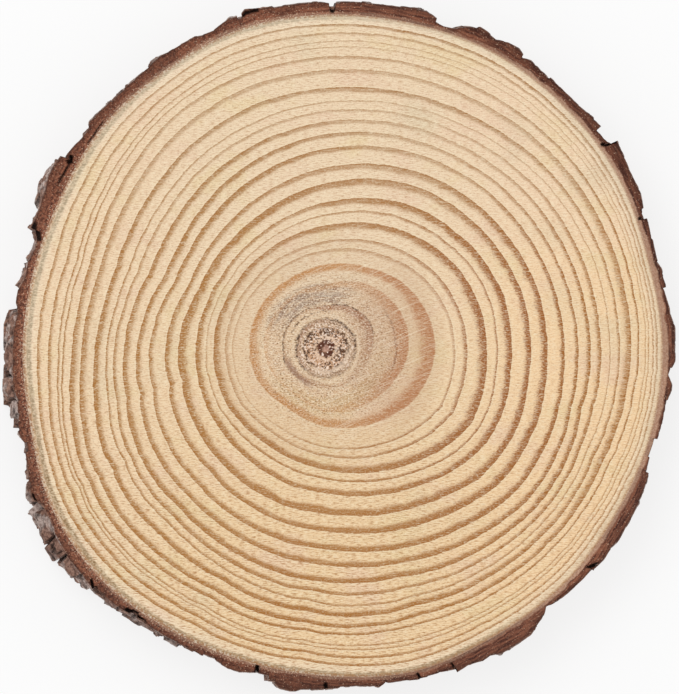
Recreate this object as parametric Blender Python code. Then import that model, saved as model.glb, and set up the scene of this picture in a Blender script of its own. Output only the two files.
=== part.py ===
"""A round slice sawn across a pine log, about 230 mm wide and 25 mm thick.

The wood is one disc, and its bark is a ring of overlapping plates round it.
The slice lies on its lower sawn face, with its origin under the middle.
Directions are in degrees about the pith, the centre of the growth rings,
anticlockwise from +X as seen from above. A depth is 0 on the upper sawn
face and 1 on the lower one.
"""

import bpy
import bmesh
import random
from dataclasses import dataclass
from math import ceil, cos, radians, sin
from mathutils import Vector, noise

MM = 0.001

# Driving dimensions, in millimetres
THICKNESS = 25.0
PITH = (-4.3, 0.15)         # the pith on the upper face
LEAN = (-2.8, -0.5)         # the lower face lies this far aside of the upper one
BARK_GAP = 0.3              # between the wood and its bark
THINNEST_BARK = 1.0
RIPPLE = 0.35               # unevenness of the bark's face
RIPPLE_LENGTH = 5.0
LEDGE_STEPS = (0.5, 1.3)    # a plate whose outer layer has broken off steps in by this much

# Shape of the plates down their height, as depths
FLANK_RISE = 0.45           # where a plate has come out to its full bulge
LEDGE_DEPTHS = (0.3, 0.75)
LEDGE_SLANT = 0.25          # a ledge runs up or down by as much as this across its plate
LEDGE_RISE = 0.09
CRACK_RISE = 0.2            # where a crack is at its deepest and widest
RIPPLE_RISE = 0.1

# Cracks and columns, in degrees round the slice
CRACK_OPENING = 0.35        # by which each side of a crack draws back
CRACK_SHARE = 0.3           # and the most of its plate's first stretch that this takes
CRACK_FLOOR = 0.35          # share of the bark's thickness that is left under a crack
LEDGED_PLATE = 3.5          # a wider plate has a ledge part way down
COLUMN_SPACING = 2.2        # the widest step from column to column
# Each wave by which the cracks stray sideways: degrees, waves round, turn with depth, phase
WANDER_WAVES = ((1.3, 5, 2.5, 0.6), (0.6, 13, -3.5, 0.0))

WOOD_SIDES = 144
LEVELS = (0.0, 0.06, 0.15, 0.26, 0.37, 0.48, 0.59, 0.7, 0.81, 0.91, 1.0)

# Distance from the pith to the edge of the wood, every 15 degrees from +X
WOOD_RADII = (114.5, 113.5, 115.0, 115.0, 115.0, 113.5, 112.5, 111.5,
              108.5, 106.5, 103.5, 102.5, 103.0, 104.0, 108.0, 110.0,
              110.0, 110.5, 112.0, 114.5, 114.0, 114.5, 114.0, 114.5)

# The bark's plates in turn. Each starts with how far its face stands out below
# the sawn edge. Then come the points of that edge, as direction and thickness.
PLATES = (
    (0.3, (5.4, 3.4), (6.2, 3.5), (9.6, 2.8)),
    (0.6, (9.8, 3.8), (15.5, 2.6), (21.7, 3.5)),
    (-0.4, (22.0, 2.4), (23.2, 2.4)),
    (0.5, (23.5, 3.1), (25.8, 4.0), (30.0, 4.0), (35.2, 5.5)),
    (-0.5, (36.0, 3.3), (38.4, 2.8)),
    (0.4, (38.6, 4.8), (40.2, 4.6), (43.0, 3.6), (46.5, 3.5), (50.1, 4.1)),
    (-0.3, (50.4, 3.5), (52.0, 3.5), (54.3, 4.5), (55.7, 3.6)),
    (0.2, (55.9, 4.6), (57.0, 5.6), (58.9, 5.4), (61.0, 4.3), (64.2, 5.6), (66.2, 4.4), (67.5, 2.4)),
    (-0.3, (67.6, 2.2), (69.7, 1.8), (71.1, 2.4)),
    (0.0, (71.3, 3.8), (73.3, 5.5), (76.0, 4.9), (84.0, 4.5)),
    (-0.6, (84.2, 4.2), (88.4, 4.3)),
    (-0.8, (88.6, 3.2), (89.2, 3.2)),
    (-0.2, (89.5, 4.3), (91.0, 4.8), (96.0, 4.5), (101.0, 4.7), (103.6, 5.8), (104.3, 4.6)),
    (-0.6, (104.5, 3.2), (105.0, 3.3)),
    (0.2, (105.1, 4.2), (106.4, 4.6), (109.5, 3.1)),
    (-0.4, (109.6, 2.9), (111.0, 3.0), (113.0, 4.3), (117.0, 4.4)),
    (-0.5, (117.2, 4.5), (120.0, 5.2), (122.5, 4.5)),
    (-0.3, (122.7, 3.9), (125.5, 3.7)),
    (0.2, (125.7, 3.5), (129.8, 3.8)),
    (-0.9, (129.9, 3.7), (133.0, 3.6), (136.5, 4.2), (137.7, 3.3)),
    (-1.0, (137.8, 3.2), (140.0, 3.6), (143.3, 4.8)),
    (0.0, (144.4, 6.4), (146.0, 6.9), (148.2, 7.3), (151.0, 5.8), (154.5, 4.7), (158.2, 5.2)),
    (-0.2, (158.4, 3.4), (160.0, 1.6), (161.5, 1.2), (164.1, 2.5)),
    (0.4, (164.3, 2.5), (167.0, 2.2), (169.5, 3.6)),
    (-1.5, (169.7, 3.8), (172.0, 3.8), (173.8, 2.9)),
    (0.9, (174.1, 2.8), (177.0, 3.6), (185.6, 3.5)),
    (1.7, (185.8, 3.7), (187.5, 4.3), (189.9, 3.2)),
    (0.8, (190.1, 3.0), (192.0, 3.3), (193.7, 4.0)),
    (-1.6, (193.9, 4.4), (196.0, 4.2), (197.8, 2.8)),
    (-0.8, (198.0, 2.0), (199.3, 2.3)),
    (-1.5, (199.5, 3.2), (203.8, 4.0)),
    (-0.6, (204.0, 4.2), (206.5, 4.9), (208.2, 4.2)),
    (2.0, (208.4, 3.6), (210.0, 2.5), (212.0, 2.4), (215.0, 3.2)),
    (2.2, (215.2, 3.3), (218.8, 3.6)),
    (0.7, (219.0, 4.1), (223.0, 4.1)),
    (-0.7, (223.2, 3.9), (226.1, 4.6)),
    (-0.9, (226.3, 3.8), (229.0, 3.2), (231.4, 2.9)),
    (-1.2, (231.6, 3.1), (234.8, 2.2)),
    (-0.1, (235.0, 2.9), (241.7, 2.9)),
    (-0.9, (241.9, 2.9), (248.3, 3.3)),
    (-1.0, (248.5, 2.6), (251.6, 2.9)),
    (-0.8, (251.8, 3.4), (253.2, 4.0), (254.9, 3.9), (257.7, 2.6)),
    (-0.9, (258.2, 2.5), (260.1, 2.7)),
    (-0.8, (260.2, 4.5), (261.3, 4.2)),
    (-0.8, (261.4, 5.0), (262.3, 6.2), (264.5, 6.7), (265.8, 5.4), (269.9, 4.3)),
    (-0.6, (270.1, 4.1), (275.0, 3.3), (279.0, 3.4), (280.0, 2.5)),
    (-0.3, (280.2, 2.4), (283.0, 2.4), (285.7, 3.0)),
    (0.2, (286.0, 2.8), (289.0, 3.1), (291.7, 4.1)),
    (-0.2, (291.9, 5.2), (294.0, 4.7), (296.5, 5.8), (298.0, 5.4), (300.0, 6.5), (305.0, 5.9),
     (307.0, 5.0)),
    (0.3, (307.2, 4.6), (309.0, 3.6), (310.1, 1.7)),
    (0.4, (310.3, 1.6), (312.6, 2.7), (319.8, 3.5)),
    (-0.3, (320.0, 4.2), (323.0, 5.1), (324.9, 4.7)),
    (0.2, (325.1, 4.8), (326.5, 5.4), (332.0, 4.7), (335.0, 4.9), (338.5, 3.5)),
    (0.4, (338.8, 2.4), (341.0, 1.9)),
    (0.5, (341.3, 1.4), (344.0, 1.4)),
    (-0.3, (344.3, 2.5), (349.1, 2.7), (350.8, 2.3)),
    (0.4, (351.0, 2.7), (352.6, 3.6), (353.6, 3.5), (355.2, 2.2), (356.2, 2.8)),
    (0.0, (356.4, 3.3), (357.5, 4.3), (363.2, 4.5), (365.2, 3.6)),
)

WOOD_COLOUR = (0.80, 0.60, 0.37, 1.0)
BARK_COLOUR = (0.13, 0.055, 0.04, 1.0)


@dataclass
class Column:
    """One line of points down the face of the bark."""
    direction: float
    thickness: float
    flank: float = 0.0
    drawn_back: float = 0.0
    is_crack: bool = False
    ledge: float = 0.0
    ledge_depth: float = 0.0


def clear_scene():
    for thing in list(bpy.data.objects):
        bpy.data.objects.remove(thing, do_unlink=True)


def rise(value, over):
    """A smooth rise from 0 to 1, over the given stretch."""
    share = min(max(value / over, 0.0), 1.0)
    return share * share * (3 - 2 * share)


def wood_radius(direction):
    """Distance from the pith to the edge of the wood, on a smooth curve through WOOD_RADII."""
    count = len(WOOD_RADII)
    steps = direction % 360 * count / 360
    first = int(steps)
    share = steps - first
    before, start, end, after = [WOOD_RADII[(first + shift) % count] for shift in (-1, 0, 1, 2)]
    bend = 2 * before - 5 * start + 4 * end - after + share * (3 * (start - end) + after - before)
    return start + 0.5 * share * (end - before + share * bend)


def place(direction, radius, depth):
    """The point at a direction and distance from the pith, which shifts with the lean."""
    angle = radians(direction)
    return Vector((
        (PITH[0] + LEAN[0] * depth + radius * cos(angle)) * MM,
        (PITH[1] + LEAN[1] * depth + radius * sin(angle)) * MM,
        THICKNESS * (1 - depth) * MM))


def new_object(name, shape, collection, material):
    """Turn a bmesh into an object in the slice's collection."""
    mesh = bpy.data.meshes.new(name)
    bmesh.ops.recalc_face_normals(shape, faces=shape.faces)
    shape.to_mesh(mesh)
    shape.free()
    mesh.materials.append(material)
    piece = bpy.data.objects.new(name, mesh)
    collection.objects.link(piece)
    return piece


def new_material(name, colour, roughness):
    material = bpy.data.materials.new(name)
    material.use_nodes = True
    shader = material.node_tree.nodes["Principled BSDF"]
    shader.inputs["Base Color"].default_value = colour
    shader.inputs["Roughness"].default_value = roughness
    shader.inputs["Metallic"].default_value = 0.0
    return material


def build_wood(collection):
    """The disc of wood: its outline on the lower face, extruded along the lean."""
    shape = bmesh.new()
    directions = [360 * side / WOOD_SIDES for side in range(WOOD_SIDES)]
    rim = [shape.verts.new(place(turn, wood_radius(turn), 1)) for turn in directions]
    lower_face = shape.faces.new(rim)
    upper = bmesh.ops.extrude_face_region(shape, geom=[lower_face], use_keep_orig=True)
    raised = [part for part in upper["geom"] if isinstance(part, bmesh.types.BMVert)]
    bmesh.ops.translate(shape, verts=raised, vec=place(0, 0, 0) - place(0, 0, 1))
    material = new_material("wood", WOOD_COLOUR, 0.6)
    piece = new_object("wood", shape, collection, material)
    piece.data.shade_smooth()
    piece.data.set_sharp_from_angle(angle=radians(30))
    return piece


def plate_columns(plate, rng):
    """Columns across one plate, at its own points and between them."""
    flank, *edge = plate
    columns = []
    for (start, thick_start), (end, thick_end) in zip(edge, edge[1:]):
        steps = ceil((end - start) / COLUMN_SPACING)
        for step in range(steps):
            share = step / steps
            thickness = thick_start + (thick_end - thick_start) * share
            columns.append(Column(start + (end - start) * share, thickness, flank))
    columns.append(Column(*edge[-1], flank))
    first_step = columns[1].direction - columns[0].direction
    last_step = columns[-1].direction - columns[-2].direction
    columns[0].drawn_back = min(CRACK_OPENING, CRACK_SHARE * first_step)
    columns[-1].drawn_back = -min(CRACK_OPENING, CRACK_SHARE * last_step)
    width = edge[-1][0] - edge[0][0]
    ledge = rng.uniform(*LEDGE_STEPS)
    ledge_depth = rng.uniform(*LEDGE_DEPTHS)
    slant = rng.uniform(-LEDGE_SLANT, LEDGE_SLANT)
    if width > LEDGED_PLATE:
        for column in columns:
            across = (column.direction - edge[0][0]) / width
            column.ledge = ledge
            column.ledge_depth = ledge_depth + slant * (across - 0.5)
    return columns


def bark_columns():
    """Every column round the bark, with one down each crack between two plates."""
    rng = random.Random(7)
    columns = []
    for plate, next_plate in zip(PLATES, PLATES[1:] + PLATES[:1]):
        columns += plate_columns(plate, rng)
        last_direction, last_thickness = plate[-1]
        next_direction, next_thickness = next_plate[1]
        between = last_direction + (next_direction - last_direction) % 360 / 2
        thinner = min(last_thickness, next_thickness)
        columns.append(Column(between, thinner, min(plate[0], next_plate[0]), is_crack=True))
    return columns


def wander(direction, depth):
    """How far the cracks stray sideways, in degrees, by the time they reach a depth."""
    turn = radians(direction)
    return depth * sum(width * sin(waves * turn + twist * depth + phase)
                       for width, waves, twist, phase in WANDER_WAVES)


def bark_face(column, depth):
    """Direction of a column at a depth, and the distance of the bark's face there from the pith."""
    direction = column.direction + wander(column.direction, depth)
    direction += column.drawn_back * rise(depth, CRACK_RISE)
    thickness = column.thickness + column.flank * rise(depth, FLANK_RISE)
    thickness -= column.ledge * rise(depth - column.ledge_depth, LEDGE_RISE)
    spot = place(direction, wood_radius(direction), depth) / (RIPPLE_LENGTH * MM)
    thickness += RIPPLE * noise.noise(spot) * rise(depth, RIPPLE_RISE)
    if column.is_crack:
        thickness *= 1 - (1 - CRACK_FLOOR) * rise(depth, CRACK_RISE)
    return direction, wood_radius(direction) + max(thickness, THINNEST_BARK)


def build_bark(collection):
    """The ring of bark, as one loop of points for each column, joined to the next loop."""
    shape = bmesh.new()
    loops = []
    for column in bark_columns():
        loop = [shape.verts.new(place(*bark_face(column, depth), depth)) for depth in LEVELS]
        for depth in (1, 0):
            direction = bark_face(column, depth)[0]
            loop.append(shape.verts.new(place(direction, wood_radius(direction) + BARK_GAP, depth)))
        loops.append(loop)
    for loop, next_loop in zip(loops, loops[1:] + loops[:1]):
        for spot in range(len(loop)):
            shape.faces.new((loop[spot - 1], loop[spot], next_loop[spot], next_loop[spot - 1]))
    material = new_material("bark", BARK_COLOUR, 0.9)
    return new_object("bark", shape, collection, material)


def main():
    clear_scene()
    collection = bpy.data.collections.new("wood_slice")
    bpy.context.scene.collection.children.link(collection)
    build_wood(collection)
    build_bark(collection)


main()
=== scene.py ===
"""The looks of a round slice sawn across a pine log, lying on a pale floor.

Its sawn faces carry the log's growth rings, and its bark is a broken skin of
plates and scales. Directions are in degrees about the pith, anticlockwise from
+X as seen from above. A depth is 0 on the upper sawn face and 1 on the lower
one. The rings are numbered from the pith, and a year is the share of the way
from one ring's edge to the next. The camera looks straight down.
"""

import random
from dataclasses import dataclass
from math import ceil, cos, radians, sin

import bpy
import numpy as np
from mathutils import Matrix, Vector, noise


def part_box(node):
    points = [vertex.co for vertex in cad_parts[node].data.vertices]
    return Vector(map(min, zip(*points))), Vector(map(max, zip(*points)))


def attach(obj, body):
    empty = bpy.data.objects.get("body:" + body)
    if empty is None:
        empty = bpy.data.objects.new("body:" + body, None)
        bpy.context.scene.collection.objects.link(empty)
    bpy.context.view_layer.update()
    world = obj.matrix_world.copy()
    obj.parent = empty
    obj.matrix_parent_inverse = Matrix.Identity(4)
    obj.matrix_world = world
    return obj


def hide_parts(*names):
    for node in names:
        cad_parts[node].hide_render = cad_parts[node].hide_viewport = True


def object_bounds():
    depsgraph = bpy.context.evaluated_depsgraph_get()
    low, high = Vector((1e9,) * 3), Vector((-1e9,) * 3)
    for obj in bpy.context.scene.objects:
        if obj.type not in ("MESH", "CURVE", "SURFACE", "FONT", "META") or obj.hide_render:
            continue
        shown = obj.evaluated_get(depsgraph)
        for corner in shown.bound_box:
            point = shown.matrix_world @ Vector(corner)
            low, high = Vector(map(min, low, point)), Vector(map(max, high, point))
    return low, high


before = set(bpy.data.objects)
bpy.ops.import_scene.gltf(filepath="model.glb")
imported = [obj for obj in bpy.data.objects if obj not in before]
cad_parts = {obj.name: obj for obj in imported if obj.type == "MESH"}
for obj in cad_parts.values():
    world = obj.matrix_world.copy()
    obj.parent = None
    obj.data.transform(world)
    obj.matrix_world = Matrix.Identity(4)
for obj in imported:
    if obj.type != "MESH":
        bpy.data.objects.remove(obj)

cad_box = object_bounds()

MM = 0.001

# The slice, in millimetres, as in its model
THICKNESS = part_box("wood")[1][2] / MM
PITH = (-4.3, 0.15)         # the pith on the upper face
LEAN = (-2.8, -0.5)         # the lower face lies this far aside of the upper one
BARK_GAP = 0.3
THINNEST_BARK = 1.0
RIPPLE = 0.35
RIPPLE_LENGTH = 5.0
LEDGE_STEPS = (0.5, 1.3)
FLANK_RISE = 0.45
LEDGE_DEPTHS = (0.3, 0.75)
LEDGE_SLANT = 0.25
LEDGE_RISE = 0.09
CRACK_RISE = 0.2
RIPPLE_RISE = 0.1
CRACK_OPENING = 0.35        # degrees
CRACK_SHARE = 0.3
CRACK_FLOOR = 0.35
LEDGED_PLATE = 3.5          # degrees
COLUMN_SPACING = 2.2        # degrees
WANDER_WAVES = ((1.3, 5, 2.5, 0.6), (0.6, 13, -3.5, 0.0))

# Distance from the pith to the edge of the wood, every 15 degrees
WOOD_RADII = (114.5, 113.5, 115.0, 115.0, 115.0, 113.5, 112.5, 111.5,
              108.5, 106.5, 103.5, 102.5, 103.0, 104.0, 108.0, 110.0,
              110.0, 110.5, 112.0, 114.5, 114.0, 114.5, 114.0, 114.5)

# The bark's plates in turn: how far each face stands out below the sawn edge,
# then the points of that edge, as direction and thickness
PLATES = (
    (0.3, (5.4, 3.4), (6.2, 3.5), (9.6, 2.8)),
    (0.6, (9.8, 3.8), (15.5, 2.6), (21.7, 3.5)),
    (-0.4, (22.0, 2.4), (23.2, 2.4)),
    (0.5, (23.5, 3.1), (25.8, 4.0), (30.0, 4.0), (35.2, 5.5)),
    (-0.5, (36.0, 3.3), (38.4, 2.8)),
    (0.4, (38.6, 4.8), (40.2, 4.6), (43.0, 3.6), (46.5, 3.5), (50.1, 4.1)),
    (-0.3, (50.4, 3.5), (52.0, 3.5), (54.3, 4.5), (55.7, 3.6)),
    (0.2, (55.9, 4.6), (57.0, 5.6), (58.9, 5.4), (61.0, 4.3), (64.2, 5.6), (66.2, 4.4), (67.5, 2.4)),
    (-0.3, (67.6, 2.2), (69.7, 1.8), (71.1, 2.4)),
    (0.0, (71.3, 3.8), (73.3, 5.5), (76.0, 4.9), (84.0, 4.5)),
    (-0.6, (84.2, 4.2), (88.4, 4.3)),
    (-0.8, (88.6, 3.2), (89.2, 3.2)),
    (-0.2, (89.5, 4.3), (91.0, 4.8), (96.0, 4.5), (101.0, 4.7), (103.6, 5.8), (104.3, 4.6)),
    (-0.6, (104.5, 3.2), (105.0, 3.3)),
    (0.2, (105.1, 4.2), (106.4, 4.6), (109.5, 3.1)),
    (-0.4, (109.6, 2.9), (111.0, 3.0), (113.0, 4.3), (117.0, 4.4)),
    (-0.5, (117.2, 4.5), (120.0, 5.2), (122.5, 4.5)),
    (-0.3, (122.7, 3.9), (125.5, 3.7)),
    (0.2, (125.7, 3.5), (129.8, 3.8)),
    (-0.9, (129.9, 3.7), (133.0, 3.6), (136.5, 4.2), (137.7, 3.3)),
    (-1.0, (137.8, 3.2), (140.0, 3.6), (143.3, 4.8)),
    (0.0, (144.4, 6.4), (146.0, 6.9), (148.2, 7.3), (151.0, 5.8), (154.5, 4.7), (158.2, 5.2)),
    (-0.2, (158.4, 3.4), (160.0, 1.6), (161.5, 1.2), (164.1, 2.5)),
    (0.4, (164.3, 2.5), (167.0, 2.2), (169.5, 3.6)),
    (-1.5, (169.7, 3.8), (172.0, 3.8), (173.8, 2.9)),
    (0.9, (174.1, 2.8), (177.0, 3.6), (185.6, 3.5)),
    (1.7, (185.8, 3.7), (187.5, 4.3), (189.9, 3.2)),
    (0.8, (190.1, 3.0), (192.0, 3.3), (193.7, 4.0)),
    (-1.6, (193.9, 4.4), (196.0, 4.2), (197.8, 2.8)),
    (-0.8, (198.0, 2.0), (199.3, 2.3)),
    (-1.5, (199.5, 3.2), (203.8, 4.0)),
    (-0.6, (204.0, 4.2), (206.5, 4.9), (208.2, 4.2)),
    (2.0, (208.4, 3.6), (210.0, 2.5), (212.0, 2.4), (215.0, 3.2)),
    (2.2, (215.2, 3.3), (218.8, 3.6)),
    (0.7, (219.0, 4.1), (223.0, 4.1)),
    (-0.7, (223.2, 3.9), (226.1, 4.6)),
    (-0.9, (226.3, 3.8), (229.0, 3.2), (231.4, 2.9)),
    (-1.2, (231.6, 3.1), (234.8, 2.2)),
    (-0.1, (235.0, 2.9), (241.7, 2.9)),
    (-0.9, (241.9, 2.9), (248.3, 3.3)),
    (-1.0, (248.5, 2.6), (251.6, 2.9)),
    (-0.8, (251.8, 3.4), (253.2, 4.0), (254.9, 3.9), (257.7, 2.6)),
    (-0.9, (258.2, 2.5), (260.1, 2.7)),
    (-0.8, (260.2, 4.5), (261.3, 4.2)),
    (-0.8, (261.4, 5.0), (262.3, 6.2), (264.5, 6.7), (265.8, 5.4), (269.9, 4.3)),
    (-0.6, (270.1, 4.1), (275.0, 3.3), (279.0, 3.4), (280.0, 2.5)),
    (-0.3, (280.2, 2.4), (283.0, 2.4), (285.7, 3.0)),
    (0.2, (286.0, 2.8), (289.0, 3.1), (291.7, 4.1)),
    (-0.2, (291.9, 5.2), (294.0, 4.7), (296.5, 5.8), (298.0, 5.4), (300.0, 6.5), (305.0, 5.9),
     (307.0, 5.0)),
    (0.3, (307.2, 4.6), (309.0, 3.6), (310.1, 1.7)),
    (0.4, (310.3, 1.6), (312.6, 2.7), (319.8, 3.5)),
    (-0.3, (320.0, 4.2), (323.0, 5.1), (324.9, 4.7)),
    (0.2, (325.1, 4.8), (326.5, 5.4), (332.0, 4.7), (335.0, 4.9), (338.5, 3.5)),
    (0.4, (338.8, 2.4), (341.0, 1.9)),
    (0.5, (341.3, 1.4), (344.0, 1.4)),
    (-0.3, (344.3, 2.5), (349.1, 2.7), (350.8, 2.3)),
    (0.4, (351.0, 2.7), (352.6, 3.6), (353.6, 3.5), (355.2, 2.2), (356.2, 2.8)),
    (0.0, (356.4, 3.3), (357.5, 4.3), (363.2, 4.5), (365.2, 3.6)),
)

# Guide rings: number, then the distance from the pith to its edge, every 30 degrees
GUIDE_RINGS = (
    (3, (16.5, 17.0, 16.0, 14.0, 14.5, 15.0, 15.0, 15.5, 14.5, 14.5, 15.0, 15.0)),
    (4, (28.4, 27.8, 25.0, 21.5, 21.0, 21.0, 21.5, 20.5, 20.0, 22.7, 24.2, 26.1)),
    (5, (37.4, 35.3, 31.0, 28.0, 26.4, 26.3, 26.5, 26.0, 25.2, 27.6, 30.9, 35.5)),
    (8, (54.7, 52.3, 46.4, 41.1, 38.3, 37.6, 38.4, 39.1, 39.4, 42.2, 48.0, 55.2)),
    (11, (69.7, 67.3, 62.5, 55.4, 49.8, 48.0, 50.3, 52.1, 54.5, 57.0, 63.0, 70.2)),
    (14, (85.9, 82.6, 77.6, 72.1, 65.8, 60.8, 64.4, 68.5, 71.0, 74.4, 81.1, 86.6)),
    (17, (96.8, 94.3, 88.3, 83.1, 78.1, 73.3, 74.8, 80.0, 82.7, 88.5, 92.8, 96.2)),
    (20, (106.5, 105.5, 102.0, 98.5, 94.4, 87.3, 86.6, 93.8, 95.0, 98.5, 101.7, 104.5)),
)
# Rings between two guides: number, share of the way, its sway, direction of the sway
RINGS_BETWEEN = (
    (6, 0.42, 0.07, 235), (7, 0.64, 0.05, 235), (9, 0.24, 0.03, 60), (10, 0.54, 0.04, 15),
    (12, 0.33, 0.02, 330), (13, 0.70, 0.01, 30), (15, 0.41, 0.03, 215), (16, 0.73, 0.02, 200),
    (18, 0.33, 0.03, 265), (19, 0.72, 0.02, 270), (21, 0.24, 0.06, 345), (22, 0.36, 0.08, 5),
    (23, 0.56, 0.08, 10), (24, 0.76, 0.05, 25),
)
LAST_RING = 25
# Where the rings are kinked: direction at the inner end and at the outer end,
# the two distances from the pith, depth outwards in millimetres, half width in degrees
KINKS = (
    (15.0, 15.0, 50.0, 80.0, 0.4, 8.0),
    (42.0, 42.0, 50.0, 72.0, -0.5, 7.0),
    (105.0, 106.0, 80.0, 98.0, 0.7, 8.0),
    (155.0, 164.0, 44.0, 110.0, -1.1, 9.0),
    (168.0, 170.0, 66.0, 92.0, -0.6, 7.0),
    (193.5, 195.0, 48.0, 80.0, -1.2, 5.0),
    (195.0, 195.0, 92.0, 108.0, 0.8, 7.0),
    (210.0, 210.0, 74.0, 104.0, -0.9, 4.0),
    (226.0, 229.0, 52.0, 90.0, -0.8, 8.0),
    (246.0, 244.0, 84.0, 112.0, -1.1, 6.0),
    (256.0, 261.0, 42.0, 82.0, 0.7, 12.0),
    (266.0, 265.5, 80.0, 112.0, -1.0, 5.0),
    (286.0, 291.0, 76.0, 104.0, -1.2, 10.0),
    (318.0, 324.0, 62.0, 96.0, 0.8, 8.0),
    (332.5, 332.5, 39.0, 60.0, 0.9, 5.0),
    (338.0, 338.0, 92.0, 112.0, -0.8, 7.0),
    (346.0, 346.0, 84.0, 97.0, -1.3, 6.0),
    (351.0, 351.0, 56.0, 74.0, -0.6, 6.0),
)
KINK_SHARPNESS = 1.3
KINK_FADE = 5.0             # millimetres over which a kink sets in and fades out
PITH_SHIFT = -0.8           # the first rings lie this much lower than the others
FIRST_RINGS = (0.18, 0.58)  # rings 1 and 2, as shares of ring 3
SAWING = -24.0              # direction of the saw marks across the first rings

# Latewood of each ring, every 60 degrees: width in millimetres, then darkness
LATEWOOD = (
    (3, (3.0, 2.5, 1.0, 1.0, 2.0, 1.5), (0.50, 0.80, 0.50, 0.50, 0.80, 0.40)),
    (4, (4.5, 3.0, 1.5, 1.5, 1.0, 3.0), (0.80, 0.40, 0.30, 0.30, 0.30, 0.35)),
    (5, (4.6, 2.6, 2.4, 2.6, 2.7, 3.2), (0.80, 0.85, 0.90, 0.75, 0.85, 0.90)),
    (6, (0.8, 1.2, 0.8, 0.5, 0.5, 0.7), (0.35, 0.35, 0.35, 0.25, 0.30, 0.70)),
    (7, (1.2, 1.1, 0.8, 1.0, 0.9, 0.9), (0.60, 0.50, 0.40, 0.35, 0.45, 0.65)),
    (8, (2.4, 2.2, 1.6, 1.9, 1.9, 2.4), (1.00, 0.75, 0.70, 0.80, 0.95, 1.00)),
    (9, (0.6, 0.9, 0.5, 0.5, 0.8, 0.8), (0.60, 0.55, 0.50, 0.40, 0.80, 0.80)),
    (10, (1.9, 2.2, 1.1, 1.7, 1.7, 1.8), (1.00, 0.85, 0.60, 0.95, 0.95, 0.95)),
    (11, (1.7, 2.2, 2.2, 2.3, 2.2, 2.3), (1.00, 0.60, 0.95, 0.95, 1.00, 1.00)),
    (12, (1.9, 2.0, 1.5, 1.6, 1.6, 2.2), (1.00, 0.60, 0.65, 0.75, 0.80, 0.95)),
    (13, (1.2, 1.4, 1.8, 1.3, 1.6, 2.0), (0.95, 0.45, 0.90, 0.65, 0.80, 0.90)),
    (14, (1.0, 1.2, 1.6, 1.5, 1.6, 1.8), (0.85, 0.40, 0.80, 0.75, 0.80, 0.80)),
    (15, (1.2, 1.1, 1.6, 1.7, 1.8, 1.7), (0.90, 0.30, 0.75, 0.75, 0.95, 0.75)),
    (16, (1.2, 0.8, 0.9, 1.0, 1.4, 1.0), (0.75, 0.30, 0.45, 0.60, 0.75, 0.60)),
    (17, (0.4, 0.5, 0.6, 0.7, 0.8, 0.7), (0.50, 0.30, 0.50, 0.70, 0.65, 0.50)),
    (18, (0.7, 1.5, 1.5, 1.7, 1.6, 1.6), (0.65, 0.50, 0.60, 0.85, 0.90, 0.70)),
    (19, (1.9, 1.4, 1.5, 1.7, 1.6, 1.2), (0.65, 0.35, 0.40, 0.65, 0.80, 0.70)),
    (20, (0.6, 1.1, 1.1, 1.7, 1.2, 0.7), (0.90, 0.40, 0.45, 0.70, 0.80, 0.70)),
    (21, (0.4, 0.4, 0.5, 0.6, 0.6, 0.5), (0.40, 0.30, 0.50, 0.80, 0.60, 0.50)),
    (22, (0.4, 0.4, 0.5, 0.6, 0.5, 0.5), (0.50, 0.30, 0.50, 0.75, 0.55, 0.50)),
    (23, (0.5, 0.8, 0.8, 1.0, 1.1, 0.7), (0.55, 0.40, 0.50, 0.65, 0.75, 0.60)),
    (24, (0.6, 0.9, 0.7, 1.0, 1.1, 0.7), (0.50, 0.65, 0.50, 0.65, 0.75, 0.60)),
    (25, (0.6, 0.6, 0.8, 1.0, 1.0, 0.8), (0.30, 0.30, 0.40, 0.55, 0.60, 0.50)),
)
YOUNG_LATEWOOD = 0.5        # width in rings 1 and 2, in millimetres
THINNEST_LATEWOOD = 0.3
LATE_WIDENING = 1.03
LATE_DARKENING = 0.7        # power that the darkness is raised to

# Mesh of the wood
WOOD_COLUMNS = 420
YEAR_ROWS = ((0.06, 0.05), (0.5, 0.05), (0.8, 0.0), (1.0, 0.0))   # share of the year, hollow in mm
SIDE_ROWS = 3
SKIN = 0.15                 # wood and bark each reach half way across the gap between them

# Mesh of the bark
FINE_SPACING = 0.26         # degrees from column to column
CRACK_COLUMNS = ((0.25, 0.6), (0.5, 1.0), (0.75, 0.6))   # share of the way across, share of the depth
FLANK_ROWS = 34
FLANK_CROWDING = 1.35       # power that crowds the rows towards the upper edge
SECTION_ROWS = 11
INNER_ROWS = 3
LOWER_ROWS = 3

# Marks that the bark's points carry for its material
BARK_MARKS = ("section", "across", "layer", "seam_and_shade", "tone", "step")

# Seeds: the ledges of the plates, as in the model, the tones of the plates, and how
# the scales on their face are warped
LEDGE_SEED = 7
TONE_SEED = 11
WARP_SEED = 5

# Scales on the bark's face: size and height in millimetres, width of the seams as a
# share of the size, and what sets their pattern apart
COARSE_SCALES = (9.0, 15.0, 0.11, 0.0)
FINE_SCALES = (3.8, 7.0, 0.10, 31.0)

# Relief of the bark's face, in millimetres: step of a scale, then depth of its seam
COARSE_RELIEF = (0.9, 0.5)
FINE_RELIEF = (0.3, 0.12)
FIBRE_RELIEF = 0.25
GRIT_RELIEF = 0.08
MEAN_STEP = 0.6             # share of a step that lies at the plate's own face

# Groove under the sawn edge: directions it lies between, and depth in millimetres
UNDERCUT = (207.5, 219.5)
UNDERCUT_DEPTH = 1.6

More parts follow.
